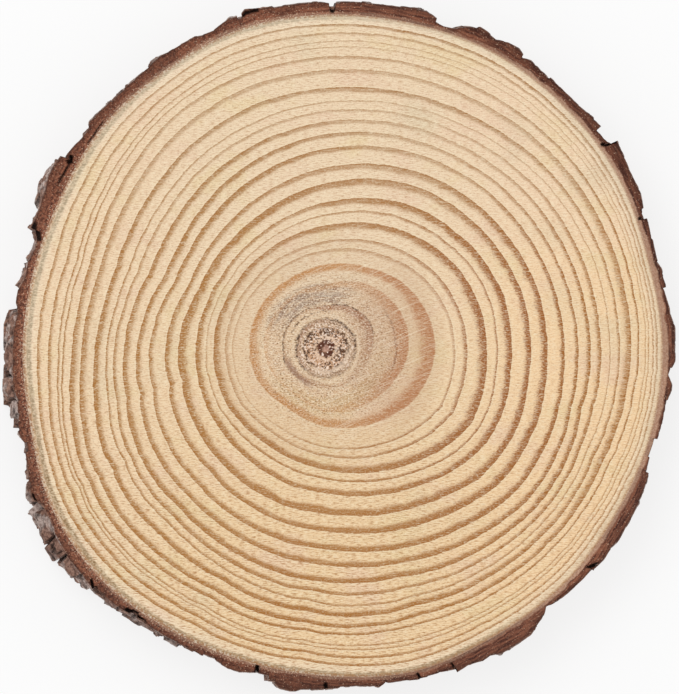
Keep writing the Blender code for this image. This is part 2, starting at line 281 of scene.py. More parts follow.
# Loose outer scales, in millimetres: how far they stand out at the sawn edge, then
# how far the face swells out below it, every 10 degrees
LOOSE_SCALES = 0.4
FLANK_SWELL = (0.2, 0.0, 0.0, 0.0, 0.0, 0.0, 0.0, 0.0, 0.0, 0.0, 0.0, 0.0,
               0.0, 0.0, 0.2, 0.8, 0.2, 0.7, 1.4, 1.1, 0.8, 2.0, 2.0, 1.5,
               1.4, 0.4, 0.2, 0.4, 0.2, 0.2, 0.4, 0.2, 0.3, 0.2, 0.2, 0.1)

RIM_RADIUS = 112            # millimetres from the pith, for lengths along the rim

# Open cracks in the sawn face of the bark: direction and share of the way out
# at each end, width and depth in millimetres
SECTION_CRACKS = (
    (22.1, 0.3, 21.9, 1.0, 0.6, 1.5),
    (35.2, 1.0, 36.1, 0.35, 0.8, 2.0),
    (88.9, 0.5, 88.9, 1.1, 1.2, 2.0),
    (101.6, 0.86, 104.0, 0.76, 0.8, 1.5),
    (143.4, 0.65, 144.4, 0.45, 0.9, 3.0),
    (144.4, 0.4, 147.5, 0.36, 0.5, 1.0),
    (147.5, 0.36, 150.5, 0.3, 0.4, 0.8),
    (135.0, 0.15, 139.5, 0.2, 0.4, 0.6),
    (157.4, 0.85, 159.5, 0.6, 1.5, 1.2),
    (207.0, 0.95, 209.5, 1.0, 0.8, 2.0),
    (225.0, 0.65, 226.5, 1.0, 0.7, 2.0),
    (233.0, 0.75, 236.5, 0.9, 1.2, 2.0),
    (257.9, 0.2, 258.0, 1.1, 0.8, 3.0),
    (269.9, 0.65, 270.1, 1.1, 0.9, 2.0),
    (285.6, 0.3, 285.9, 1.1, 0.5, 1.5),
    (291.6, 0.4, 291.9, 1.1, 0.5, 1.5),
    (320.0, 0.6, 321.2, 0.85, 0.8, 2.0),
)

# Camera and stage
PHOTO_SIZE = (679, 694)     # pixels
PIXEL = 0.34                # millimetres on the upper face
CAMERA_SPOT = (0.00029, -0.00019)   # metres aside of the slice's middle
CAMERA_HEIGHT = 4.0         # metres above the upper face
SENSOR = 36.0               # millimetres
FLOOR_SIZE = 6.0            # metres
FLOOR_GAP = 0.0001          # metres under the slice, so that the two do not share a plane
FLOOR_GLOW = 0.75
KEY_LIGHT = ((-0.7, 0.9, 2.0), 1.6, 11.0)   # place and size in metres, then power in watts
SKY_STRENGTH = 0.78


def rise(value, over):
    """A smooth rise from 0 to 1, over the given stretch."""
    share = min(max(value / over, 0.0), 1.0)
    return share * share * (3 - 2 * share)


def around(values, direction):
    """Value at a direction, on a smooth closed curve through evenly spaced values."""
    values = np.asarray(values, dtype=float)
    steps = np.asarray(direction, dtype=float) % 360 * len(values) / 360
    first = np.floor(steps).astype(int)
    share = steps - first
    before, start, end, after = [values[(first + shift) % len(values)] for shift in (-1, 0, 1, 2)]
    bend = 2 * before - 5 * start + 4 * end - after + share * (3 * (start - end) + after - before)
    return start + 0.5 * share * (end - before + share * bend)


def wood_radius(direction):
    return float(around(WOOD_RADII, direction))


def place(direction, radius, depth):
    """The point at a direction and distance from the pith, which shifts with the lean."""
    angle = radians(direction)
    return Vector((
        (PITH[0] + LEAN[0] * depth + radius * cos(angle)) * MM,
        (PITH[1] + LEAN[1] * depth + radius * sin(angle)) * MM,
        THICKNESS * (1 - depth) * MM))


def new_piece(name, points, faces, attributes, material, node):
    """Make a mesh piece that stands for a node of the model."""
    mesh = bpy.data.meshes.new(name)
    mesh.from_pydata(points, [], faces)
    for label, values in attributes.items():
        layer = mesh.attributes.new(label, "FLOAT", "POINT")
        layer.data.foreach_set("value", np.asarray(values, dtype=np.float32).ravel())
    mesh.materials.append(material)
    mesh.validate()
    piece = bpy.data.objects.new(name, mesh)
    bpy.context.scene.collection.objects.link(piece)
    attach(piece, "root")
    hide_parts(node)
    return piece


class Signal:
    """A number, vector or colour inside a material, on which sums and products build nodes."""

    def __init__(self, shader, socket):
        self.shader = shader
        self.socket = socket

    def __add__(self, other):
        return self.shader.math("ADD", self, other)

    def __sub__(self, other):
        return self.shader.math("SUBTRACT", self, other)

    def __rsub__(self, other):
        return self.shader.math("SUBTRACT", other, self)

    def __mul__(self, other):
        return self.shader.math("MULTIPLY", self, other)

    def __truediv__(self, other):
        return self.shader.math("DIVIDE", self, other)

    def __abs__(self):
        return self.shader.math("ABSOLUTE", self)

    def rise(self, start, end, low=0.0, high=1.0):
        """A smooth rise from low to high, as this number goes from start to end."""
        ends = {"Value": self, "From Min": start, "From Max": end, "To Min": low, "To Max": high}
        return self.shader.node("ShaderNodeMapRange", ends, interpolation_type="SMOOTHSTEP")

    def coat(self, share, red, green, blue):
        """This colour, with another one laid over it by a share."""
        return self.shader.mix(share, self, srgb(red, green, blue))


class Shader:
    """A material, with short calls for building its nodes."""

    def __init__(self, name):
        self.material = bpy.data.materials.new(name)
        self.material.use_nodes = True
        self.tree = self.material.node_tree
        self.surface = self.tree.nodes["Principled BSDF"]

    def put(self, value, socket):
        if isinstance(value, Signal):
            self.tree.links.new(value.socket, socket)
        else:
            socket.default_value = value

    def node(self, kind, inputs, output=0, **settings):
        made = self.tree.nodes.new(kind)
        for label, value in settings.items():
            setattr(made, label, value)
        for label, value in inputs.items():
            self.put(value, made.inputs[label])
        return Signal(self, made.outputs[output])

    def math(self, operation, *values):
        return self.node("ShaderNodeMath", dict(enumerate(values)), operation=operation)

    def larger(self, a, b):
        return self.math("MAXIMUM", a, b)

    def vector(self, operation, *values, output=0):
        return self.node("ShaderNodeVectorMath", dict(enumerate(values)), output, operation=operation)

    def attribute(self, label):
        return self.node("ShaderNodeAttribute", {}, output="Fac", attribute_name=label)

    def place(self):
        """The point on the surface, in millimetres."""
        spot = self.node("ShaderNodeTexCoord", {}, output="Object")
        return self.node("ShaderNodeVectorMath", {0: spot, "Scale": 1 / MM}, operation="SCALE")

    def join(self, x, y, z):
        return self.node("ShaderNodeCombineXYZ", {0: x, 1: y, 2: z})

    def split(self, vector):
        """The three parts of a vector."""
        made = self.node("ShaderNodeSeparateXYZ", {0: vector}).socket.node
        return [Signal(self, output) for output in made.outputs]

    def stretch(self, vector, factors, shift=(0.0, 0.0, 0.0)):
        return self.vector("MULTIPLY_ADD", vector, factors, shift)

    def from_middle(self, spot, middle):
        """Distance and direction of a spot from the upright line through a point."""
        flat = self.stretch(spot, (1.0, 1.0, 0.0))
        away = self.vector("NORMALIZE", self.vector("SUBTRACT", flat, middle))
        return self.vector("DISTANCE", flat, middle, output="Value"), away

    def noise(self, vector, factors=None, shift=(0.0, 0.0, 0.0), detail=2.0, roughness=0.5):
        """Smooth noise from 0 to 1, with the vector first stretched and shifted where asked."""
        if factors:
            vector = self.stretch(vector, factors, shift)
        inputs = {"Vector": vector, "Scale": 1.0, "Detail": detail, "Roughness": roughness}
        return self.node("ShaderNodeTexNoise", inputs, output="Fac")

    def mix(self, share, a, b):
        return self.node("ShaderNodeMix", {0: share, 6: a, 7: b}, output=2, data_type="RGBA")

    def finish(self, colour, roughness, height, depth, specular):
        """Set the surface's look, with a bump of the given depth in millimetres."""
        bump = self.node("ShaderNodeBump", {"Strength": 1.0, "Distance": depth * MM, "Height": height})
        self.put(colour, self.surface.inputs["Base Color"])
        self.put(roughness, self.surface.inputs["Roughness"])
        self.put(bump, self.surface.inputs["Normal"])
        self.put(specular, self.surface.inputs["Specular IOR Level"])
        return self.material


def srgb(red, green, blue):
    """A colour given as on a screen, in steps of 1/255, for use in a shader."""
    levels = [level / 255 for level in (red, green, blue)]
    return tuple(((level + 0.055) / 1.055) ** 2.4 for level in levels) + (1.0,)


# Growth rings

def kink(radius, direction):
    """How far the kinks move a ring outwards."""
    total = np.zeros_like(radius)
    for inner_turn, outer_turn, start, end, depth, half_width in KINKS:
        share = np.clip((radius - start) / (end - start), 0, 1)
        middle = inner_turn + (outer_turn - inner_turn) * share
        away = np.abs((direction - middle + 180) % 360 - 180) / half_width
        inwards = np.clip((radius - start) / KINK_FADE, 0, 1)
        outwards = np.clip((end - radius) / KINK_FADE, 0, 1)
        total += depth * (inwards * outwards) * np.exp(-away * KINK_SHARPNESS)
    return total


def ring_radii(direction):
    """Distance from the pith to the edge of each ring, one row for each, from the pith outwards."""
    rings = {number: around(radii, direction) for number, radii in GUIDE_RINGS}
    rings[LAST_RING] = around(WOOD_RADII, direction)
    guides = sorted(rings)
    for number, share, sway, toward in RINGS_BETWEEN:
        inner = max(guide for guide in guides if guide < number)
        outer = min(guide for guide in guides if guide > number)
        here = share + sway * np.cos(np.radians(direction - toward))
        rings[number] = rings[inner] + (rings[outer] - rings[inner]) * here
    for number in range(3, LAST_RING):
        rings[number] = rings[number] + kink(rings[number], direction)
    for number, share in enumerate(FIRST_RINGS, start=1):
        shift = PITH_SHIFT * np.sin(np.radians(direction)) * (1 - share)
        rings[number] = rings[3] * share + shift
    return np.array([rings[number] for number in range(1, LAST_RING + 1)])


def latewood(direction, rings):
    """Width in millimetres and darkness of each ring's latewood, one row for each ring."""
    widths = np.full_like(rings, YOUNG_LATEWOOD)
    darkness = np.zeros_like(rings)
    for number, width, dark in LATEWOOD:
        widths[number - 1] = around(width, direction)
        darkness[number - 1] = around(dark, direction)
    widths = np.maximum(widths, THINNEST_LATEWOOD) * LATE_WIDENING
    return widths, np.clip(darkness, 0, 1) ** LATE_DARKENING


def wood_points():
    """Points and attributes of the wood's two faces and its side."""
    direction = np.arange(WOOD_COLUMNS) * 360 / WOOD_COLUMNS
    rings = ring_radii(direction)
    widths, darkness = latewood(direction, rings)
    inner = np.vstack([np.zeros((1, WOOD_COLUMNS)), rings[:-1]])
    years = rings - inner
    rim = rings[-1] + SKIN
    rows = []
    for number in range(LAST_RING):
        for year, hollow in YEAR_ROWS:
            radius = inner[number] + years[number] * year
            if number == LAST_RING - 1 and year == 1.0:
                radius = rim
            rows.append((radius, 0.0, hollow, number + year, number))
    for side in range(1, SIDE_ROWS + 1):
        rows.append((rim, side / SIDE_ROWS, 0.0, LAST_RING - 0.01, LAST_RING - 1))
    for number in range(LAST_RING - 2, -1, -1):
        rows.append((rings[number], 1.0, 0.0, number + 1.0, number))
    points = []
    marks = {"ring": [], "year_width": [], "late_width": [], "late_dark": [], "edge": []}
    angle = np.radians(direction)
    for radius, depth, hollow, ring, number in rows:
        x = PITH[0] + LEAN[0] * depth + radius * np.cos(angle)
        y = PITH[1] + LEAN[1] * depth + radius * np.sin(angle)
        z = np.full_like(x, THICKNESS * (1 - depth) - hollow)
        points.append(np.stack([x, y, z], axis=1) * MM)
        values = (np.full_like(x, ring), years[number], widths[number], darkness[number], rim - radius)
        for label, value in zip(marks, values):
            marks[label].append(value)
    return len(rows), np.vstack(points), {label: np.array(values) for label, values in marks.items()}


def build_wood(material):
    row_count, points, attributes = wood_points()
    columns = WOOD_COLUMNS
    faces = []
    for row in range(row_count - 1):
        for column in range(columns):
            following = (column + 1) % columns
            faces.append((row * columns + column, (row + 1) * columns + column,
                          (row + 1) * columns + following, row * columns + following))
    upper_middle, lower_middle = len(points), len(points) + 1
    last = (row_count - 1) * columns
    for column in range(columns):
        following = (column + 1) % columns
        faces.append((upper_middle, column, following))
        faces.append((lower_middle, last + following, last + column))
    middles = [[PITH[0] * MM, (PITH[1] + PITH_SHIFT) * MM, THICKNESS * MM],
               [(PITH[0] + LEAN[0]) * MM, (PITH[1] + LEAN[1] + PITH_SHIFT) * MM, 0.0]]
    points = np.vstack([points, middles])
    at_pith = {"ring": 0.0, "year_width": 3.0, "late_width": 0.5, "late_dark": 0.0, "edge": 100.0}
    attributes = {label: np.append(values.ravel(), [at_pith[label]] * 2)
                  for label, values in attributes.items()}
    return new_piece("sawn_wood", points.tolist(), faces, attributes, material, "wood")


def wood_material():
    """Sawn pine: cream earlywood, brown latewood bands, saw streaks and the dark spongy pith."""
    shader = Shader("sawn_pine")
    spot = shader.place()

    # Noise: streaks that run from left to right, specks, then ever wider patches
    comb = shader.noise(spot, (0.5, 3.4, 1.0), detail=1.5)
    streak = shader.noise(spot, (0.1, 1.3, 1.0), (7.0, 3.0, 0.0), detail=3.0)
    dash = shader.noise(spot, (0.5, 3.2, 1.0), (1.0, 9.0, 4.0), detail=1.0)
    speck = shader.noise(spot, (1.6, 2.6, 1.0), (5.0, 0.0, 2.0))
    grain = shader.noise(spot, (2.2, 2.2, 0.1), (6.0, 1.0, 3.0), detail=1.0)
    void = shader.noise(spot, (1.3, 1.6, 0.1), (2.0, 2.0, 2.0))
    curl = shader.noise(spot, (0.42, 0.42, 0.1), (4.0, 7.0, 0.0))
    blotch = shader.noise(spot, (0.12, 0.16, 0.1), detail=3.0, roughness=0.6)
    patch = shader.noise(spot, (0.055, 0.075, 0.1), (3.0, 8.0, 1.0), detail=3.0)
    spread = shader.noise(spot, (0.03, 0.03, 0.1), (9.0, 2.0, 6.0))

    # Place on the slice, as x and y in millimetres and as distance and direction from the pith
    x, y, _ = shader.split(spot)
    reach, away = shader.from_middle(spot, (PITH[0], PITH[1] + PITH_SHIFT, 0.0))
    east, north, _ = shader.split(away)
    across = abs(east)

    def toward(direction, start, end):
        """A smooth rise round the pith, towards a direction."""
        aim = (cos(radians(direction)), sin(radians(direction)), 0.0)
        return shader.vector("DOT_PRODUCT", away, aim, output="Value").rise(start, end)

    def zone(value, start, full, last, end):
        """A strip between start and end, in full from full to last."""
        return value.rise(start, full) * value.rise(end, last)

    # The year at this spot, a little uneven, and the distances to its two edges
    year_width = shader.attribute("year_width")
    swirl = (curl - 0.5) * (across * 0.35 + 0.25)
    drift = (blotch - 0.5) * (across * 0.5 + 0.6)
    shift = comb * 0.24 - 0.12 + swirl + drift
    shift *= reach.rise(3.0, 16.0, 0.3, 1.0)
    ring = shader.attribute("ring") + shift / year_width
    year = shader.math("FRACT", ring)
    outside = year * year_width
    inside = year_width - outside

    uneven = shader.larger(comb * 3.2 - 0.45, 0.4) - 1.0
    uneven = uneven * (across * 0.8 + 0.2) + 1.0
    width = shader.attribute("late_width") * uneven * (blotch * 0.8 + 0.75)
    band = inside.rise(width * 1.05, width * 0.6)
    line = inside.rise(width * 0.4, 0.05)
    outer_edge = inside.rise(0.0, ring.rise(5.6, 5.0, 0.16, 0.7))
    gaps = 1.0 - dash.rise(0.6, 0.68) * across * 0.5
    dark = shader.attribute("late_dark") * band * outer_edge
    dark = dark * gaps * (line * 0.3 + 1.0)
    dark = shader.math("MINIMUM", dark * (streak * 1.5 + 0.35), 1.0)
    level = 1 - across
    faint = level * reach.rise(95.0, 65.0, 0.02, 0.12)
    dark *= 1 - faint

    # Colour of the latewood by region: redder at the right, greyer at the top
    red = x.rise(0.0, 40.0) * x.rise(90.0, 62.0)
    red *= zone(y, -90.0, -15.0, 15.0, 60.0)
    grey = y.rise(25.0, 75.0) * spread.rise(0.3, 0.6, 0.5, 1.0)
    late = shader.mix(x.rise(-15.0, -45.0), srgb(170, 111, 46), srgb(174, 119, 56))
    late = late.coat(red * 0.8, 156, 90, 42)
    late = late.coat(grey * 0.75, 168, 126, 80)
    young = shader.mix(x.rise(-5.0, 20.0), srgb(208, 148, 88), srgb(198, 138, 96))
    late = shader.mix(ring.rise(5.6, 5.1, 0.0, 0.9), late, young)
    first_late = shader.mix(toward(48, 0.3, 0.8), srgb(186, 144, 108), srgb(168, 116, 86))
    late = shader.mix(ring.rise(3.4, 3.1), late, first_late)

    # Earlywood, with faint pink, yellow and green patches, and tan round the pith
    early = shader.mix(y.rise(60.0, -80.0), srgb(244, 218, 184), srgb(245, 212, 166))
    right = shader.mix(y.rise(10.0, 60.0), srgb(253, 217, 171), srgb(250, 220, 186))
    early = shader.mix(x.rise(20.0, 75.0, 0.0, 0.9), early, right)
    early = early.coat(x.rise(-40.0, -90.0, 0.0, 0.8), 249, 219, 182)
    early = early.coat(patch.rise(0.52, 0.72, 0.0, 0.55), 238, 203, 174)
    early = early.coat(patch.rise(0.46, 0.3, 0.0, 0.5), 238, 214, 164)
    early = early.coat(spread.rise(0.55, 0.75, 0.0, 0.5), 222, 206, 172)
    early = early.coat(outside.rise(0.7, 0.1, 0.0, 0.5), 247, 226, 190)
    core = (ring + blotch * 1.2 - 0.6).rise(4.4, 3.4)
    early = early.coat(core * 0.6, 216, 181, 146)
    murk = zone(reach, 14.0, 16.5, 21.0, 23.5) * toward(112, 0.55, 0.9)
    arcs = shader.noise(shader.join(east * 3.0, north * 3.0, reach * 1.2), detail=3.0)
    early = early.coat(murk * arcs.rise(0.38, 0.6, 0.3, 0.95), 162, 140, 124)
    ochre = zone(reach, 15.0, 18.0, 21.0, 25.0) * toward(275, 0.2, 0.8)
    early = early.coat(ochre * 0.5, 204, 168, 112)
    early = early.coat(shader.attribute("edge").rise(6.0, 2.0, 0.0, 0.5), 248, 230, 204)
    colour = shader.mix(dark, early, late)
    deep = line * dark * ring.rise(5.6, 6.2, 0.0, 0.18)
    colour = colour.coat(deep * (1.0 - grey * 0.7), 150, 80, 26)

    # Fine streaks and specks over both, coarser round the pith, where they lie in rows
    coarse = reach.rise(34.0, 16.0)
    round_pith = shader.join(east * 9.0, north * 9.0, reach * 1.5)
    rows = shader.noise(round_pith, detail=3.0, roughness=0.65)
    dark_rows = rows.rise(0.46, 0.34) * reach.rise(30.0, 20.0)
    dark_rows *= speck.rise(0.62, 0.44, 0.2, 1.0)
    colour = colour.coat(dark_rows * (murk * 0.45 + 0.34), 104, 62, 34)
    crisp = y.rise(0.0, -70.0, 0.42, 0.75) * x.rise(20.0, 60.0, 1.0, 0.75)
    colour = colour.coat(comb.rise(0.52, 0.3) * crisp, 176, 118, 64)
    level_band = dark * level * 0.7
    light = comb.rise(0.5, 0.7, 0.0, 0.55) * (1 - level_band)
    colour = colour.coat(light, 254, 238, 206)
    colour = colour.coat(speck.rise(0.5, 0.34, 0.0, 0.16), 150, 100, 64)
    colour = colour.coat(speck.rise(0.54, 0.68, 0.0, 0.3), 253, 237, 206)
    pores = coarse * speck.rise(0.44, 0.32, 0.0, 0.6)
    pores += speck.rise(0.36, 0.26, 0.0, 0.35)
    colour = colour.coat(pores, 108, 62, 32)
    glints = coarse * speck.rise(0.55, 0.66, 0.0, 0.75)
    colour = colour.coat(glints, 252, 232, 208)

    # A tan tint over the first wide rings, strongest at the right
    tan_right = zone(reach, 9.5, 12.0, 36.0, 44.0) * east.rise(0.3, 0.8)
    tan = shader.larger(tan_right * 0.19, zone(reach, 20.0, 25.0, 34.0, 44.0) * 0.11)
    colour = colour.coat(tan, 150, 92, 58)

    # Pale saw marks across the first rings
    sawing = shader.node("ShaderNodeVectorRotate", {"Vector": spot, "Angle": radians(SAWING)},
                         rotation_type="Z_AXIS")
    marks = shader.noise(sawing, (0.09, 3.2, 0.1))
    marks = marks.rise(0.54, 0.66) * reach.rise(60.0, 25.0)
    marks *= reach.rise(6.0, 14.0)
    marks *= east.rise(-0.6, 0.3, 0.3, 1.0)
    colour = colour.coat(marks * 0.34, 254, 236, 208)

    # Dotted dark lines at the first rings' edges, broken up by small voids
    dots = void.rise(0.58, 0.44, 0.2, 1.0)
    wavy = reach + curl * 1.8 - 0.9 + comb * 0.7 - 0.35
    third = zone(inside, 0.0, 0.15, 0.4, 0.8) * zone(ring, 2.6, 2.8, 3.0, 3.1)
    third *= shader.larger(toward(155, 0.3, 0.8), toward(55, 0.6, 0.95))
    third *= void.rise(0.54, 0.46, 0.1, 0.75)
    colour = colour.coat(third, 88, 58, 38)
    row = zone(wavy, 12.3, 12.6, 12.8, 13.2) * toward(118, 0.75, 0.92)
    colour = colour.coat(row * void.rise(0.54, 0.46, 0.0, 0.8), 88, 58, 38)
    mauve = zone(wavy, 12.0, 13.0, 14.0, 14.7) * toward(222, 0.84, 0.96)
    colour = colour.coat(mauve * speck, 134, 92, 78)
    inner_line = zone(wavy, 23.2, 23.6, 23.9, 24.4) * toward(8, 0.86, 0.95)
    colour = colour.coat(inner_line * dots * 0.55, 128, 86, 64)

    # The pith: dark brown round a pale middle, then spongy wood full of small voids
    collar = zone(wavy, 7.8, 8.6, 9.6, 10.6)
    brown = shader.mix(toward(155, 0.0, 0.8), srgb(170, 134, 108), srgb(160, 110, 86))
    colour = shader.mix(collar * (rows * 0.9 + 0.05), colour, brown)
    second = zone(wavy, 9.4, 9.9, 10.3, 10.9) * dots
    second_share = shader.larger(toward(35, 0.4, 0.9), toward(180, 0.5, 0.9))
    second *= second_share * 0.6 + 0.3
    colour = colour.coat(second, 76, 48, 30)
    pale = zone(wavy, 7.9, 8.2, 8.4, 8.8) + zone(wavy, 10.9, 11.1, 11.4, 11.9)
    colour = colour.coat(pale * 0.45, 240, 218, 188)
    colour = colour.coat(wavy.rise(9.4, 6.2, 0.0, 0.75), 206, 156, 118)
    cluster = toward(20, -0.8, 0.7) * 0.1 - 0.05
    cluster += toward(125, 0.4, 0.9) * 0.05
    cluster += toward(170, 0.6, 0.95) * 0.05
    cluster += blotch.rise(0.4, 0.6, -0.03, 0.03)
    spongy = (void - cluster).rise(0.48, 0.38)
    spongy *= wavy.rise(7.8, 6.6)
    glow = void.rise(0.58, 0.67) * wavy.rise(9.0, 7.6)
    colour = colour.coat(glow * (cluster * 5.0 + 0.75), 255, 236, 220)
    colour = colour.coat(spongy * 0.82, 52, 22, 6)
    grainy = shader.larger(wavy.rise(10.8, 8.6), coarse * 0.25)
    dark_grain = grain.rise(0.46, 0.34) * grainy * 0.7
    colour = colour.coat(dark_grain, 78, 44, 26)
    pale_grain = grain.rise(0.54, 0.66) * grainy * 0.75
    colour = colour.coat(pale_grain, 255, 236, 220)
    first = zone(wavy, 6.7, 7.2, 7.6, 8.1) * dots
    first_share = shader.larger(toward(180, 0.2, 0.8), toward(345, 0.3, 0.8))
    first *= first_share * 0.6 + 0.3
    colour = colour.coat(first, 72, 42, 24)
    pale_arc = zone(wavy, 6.9, 7.3, 8.2, 8.8) * toward(300, 0.3, 0.85)
    colour = colour.coat(pale_arc * 0.55, 238, 212, 186)
    heart = zone(wavy, 0.6, 1.5, 2.5, 3.2)
    halo = zone(wavy, 2.9, 3.4, 4.1, 4.8) * void.rise(0.4, 0.52, 0.1, 0.7)
    colour = colour.coat(halo, 236, 204, 176)
    colour = colour.coat(heart * void.rise(0.62, 0.5, 0.4, 0.9), 88, 42, 26)
    colour = colour.coat(wavy.rise(3.4, 2.4) * void.rise(0.57, 0.64), 248, 226, 212)
    colour = colour.coat(wavy.rise(1.3, 0.8, 0.0, 0.8), 186, 142, 124)

    # The last wood under the bark: a greenish line, then a frayed boundary with sawdust
    edge = shader.attribute("edge") + comb * 0.8 - 0.4 + curl * 0.8 - 0.4
    left = x.rise(50.0, -30.0, 0.25, 1.0)
    low = y.rise(20.0, -60.0)
    upright = abs(north)
    nearer = edge + upright.rise(0.6, 0.95, 0.0, 0.6)
    nearer += east.rise(-0.5, -0.85, 0.0, -0.5)
    line_share = shader.larger(left, north.rise(-0.7, -0.95, 0.0, 0.95))
    line = zone(nearer, 0.5, 1.0, 1.9, 2.8) * line_share
    line *= void.rise(0.4, 0.6, 0.45, 1.0)
    green = shader.mix(low, srgb(174, 155, 126), srgb(142, 112, 74))
    line *= comb.rise(0.62, 0.45, 0.72, 1.0)
    colour = shader.mix(line * 0.95, colour, green)
    mottled = (speck * 2.4 - 1.2) * (left * 0.8 + 0.2)
    fray = shader.attribute("edge") + mottled
    fray += x.rise(-20.0, -70.0, 0.0, -0.35)
    colour = colour.coat(fray.rise(0.9, 0.05, 0.0, 0.75), 160, 118, 94)
    dust = edge.rise(1.7, 0.7) * void.rise(0.5, 0.6)
    colour = colour.coat(dust * left * 0.6, 238, 222, 198)

    roughness = streak * 0.25 + 0.5
    height = comb + dark * 0.2 - spongy * 2.0
    return shader.finish(colour, roughness, height, depth=0.045, specular=0.12)


# Bark

@dataclass
class Column:
    """One line of points down the face of the bark."""
    direction: float
    thickness: float
    flank: float = 0.0
    drawn_back: float = 0.0
    crack: float = 0.0
    ledge: float = 0.0
    ledge_depth: float = 0.0
    tone: float = 0.0


def plate_columns(plate, rng, tone):
    """Columns across one plate, at its own points and between them."""
    flank, *edge = plate
    first, last = edge[0][0], edge[-1][0]
    ledge = rng.uniform(*LEDGE_STEPS)
    ledge_depth = rng.uniform(*LEDGE_DEPTHS)
    slant = rng.uniform(-LEDGE_SLANT, LEDGE_SLANT)
    columns = []
    for (start, thick_start), (end, thick_end) in zip(edge, edge[1:]):
        steps = ceil((end - start) / FINE_SPACING)
        for step in range(steps):
            share = step / steps
            columns.append(Column(start + (end - start) * share,
                                  thick_start + (thick_end - thick_start) * share))
    columns.append(Column(*edge[-1]))
    first_step = (edge[1][0] - first) / ceil((edge[1][0] - first) / COLUMN_SPACING)
    last_step = (last - edge[-2][0]) / ceil((last - edge[-2][0]) / COLUMN_SPACING)
    for column in columns:
        column.flank = flank
        column.tone = tone
        opening = min(CRACK_OPENING, CRACK_SHARE * first_step)
        column.drawn_back = opening * max(0, 1 - (column.direction - first) / first_step)
        opening = min(CRACK_OPENING, CRACK_SHARE * last_step)
        column.drawn_back -= opening * max(0, 1 - (last - column.direction) / last_step)
        if last - first > LEDGED_PLATE:
            column.ledge = ledge
            along = (column.direction - first) / (last - first)
            column.ledge_depth = ledge_depth + slant * (along - 0.5)
    return columns


def bark_columns():
    """Every column round the bark, with some down each crack between two plates."""
    rng = random.Random(LEDGE_SEED)
    tones = random.Random(TONE_SEED)
    columns = []
    for plate, next_plate in zip(PLATES, PLATES[1:] + PLATES[:1]):
        tone = tones.random()
        columns += plate_columns(plate, rng, tone)
        last_direction, last_thickness = plate[-1]
        next_direction, next_thickness = next_plate[1]
        between = (next_direction - last_direction) % 360
        thinner = min(last_thickness, next_thickness)
        for share, crack in CRACK_COLUMNS:
            columns.append(Column(last_direction + between * share, thinner, min(plate[0], next_plate[0]),
                                  crack=crack, tone=tone))
    return columns


def wander(direction, depth):
    """How far the cracks stray sideways, in degrees, by the time they reach a depth."""
    turn = radians(direction)
    return depth * sum(width * sin(waves * turn + twist * depth + phase)
                       for width, waves, twist, phase in WANDER_WAVES)


def scales(spot, size, height, seam_width, seed):
    """Step and seam of loose scales on the bark's face, for a spot in millimetres."""
    warped = spot + noise.noise_vector(spot / (size * 1.3)) * size * 0.5
    warped += noise.noise_vector(spot / (size * 0.3)) * size * 0.16
    cell = Vector((warped.x / size, warped.y / size, warped.z / height + seed))
    distances, centres = noise.voronoi(cell)
    step = noise.cell(centres[0] * 9.7)
    seam_and_shade = 1 - rise(distances[1] - distances[0], seam_width)
    seam_and_shade *= 0.2 + 0.8 * rise(noise.noise(spot / (size * 0.5) + Vector((0, 0, seed))) + 0.25, 0.4)
    return step, seam_and_shade


def bark_relief(spot, depth):
    """Fine relief of the bark's face in millimetres, and how much of it is a seam, which the material
    darkens as painted shade.
    """
    plate_step, plate_seam = scales(spot, *COARSE_SCALES)
    scale_step, scale_seam = scales(spot, *FINE_SCALES)
    fibres = noise.noise(Vector((spot.x * 0.6, spot.y * 0.6, spot.z * 0.16)))
    grit = noise.noise(spot * 1.1)
    relief = COARSE_RELIEF[0] * (plate_step - MEAN_STEP) - COARSE_RELIEF[1] * plate_seam
    relief += FINE_RELIEF[0] * (scale_step - MEAN_STEP) - FINE_RELIEF[1] * scale_seam
    relief += FIBRE_RELIEF * fibres + GRIT_RELIEF * grit
    strength = 0.35 + 0.65 * rise(depth, 0.07)
    return relief * strength, max(plate_seam, 0.6 * scale_seam) * strength, scale_step


def undercut(direction, depth):
    """Groove just under the sawn edge, where an outer plate has come away from it, from 0 to 1."""
    across = rise(direction - UNDERCUT[0], 1.5) * rise(UNDERCUT[1] - direction, 1.5)
    return across * rise(depth, 0.02) * (1 - rise(depth - 0.05, 0.05))


def flank_point(column, depth):
    """A point on the bark's outer face, as direction, distance from the pith, and its marks."""
    direction = column.direction + wander(column.direction, depth)
    direction += column.drawn_back * rise(depth, CRACK_RISE)
    wood = wood_radius(direction)
    thickness = column.thickness + column.flank * rise(depth, FLANK_RISE)
    thickness -= column.ledge * rise(depth - column.ledge_depth, LEDGE_RISE)
    spot = place(direction, wood, depth) / MM
    thickness += RIPPLE * noise.noise(spot / RIPPLE_LENGTH) * rise(depth, RIPPLE_RISE)
    relief, seam_and_shade, step = bark_relief(spot, depth)
    groove = undercut(direction, depth)
    thickness += relief - UNDERCUT_DEPTH * groove + LOOSE_SCALES
    thickness += max(float(around(FLANK_SWELL, direction)), 0) * rise(depth, FLANK_RISE)
    # Down a crack between plates the face sinks, and its seam mark grows there as painted shade
    if column.crack:
        deep = column.crack * rise(depth, CRACK_RISE)
        thickness *= 1 - (1 - CRACK_FLOOR) * deep
        seam_and_shade = max(seam_and_shade, 0.4 + 0.6 * deep)
    # The groove under the sawn edge joins the seam mark, as painted shade
    return direction, wood + max(thickness, THINNEST_BARK), max(seam_and_shade, groove), step


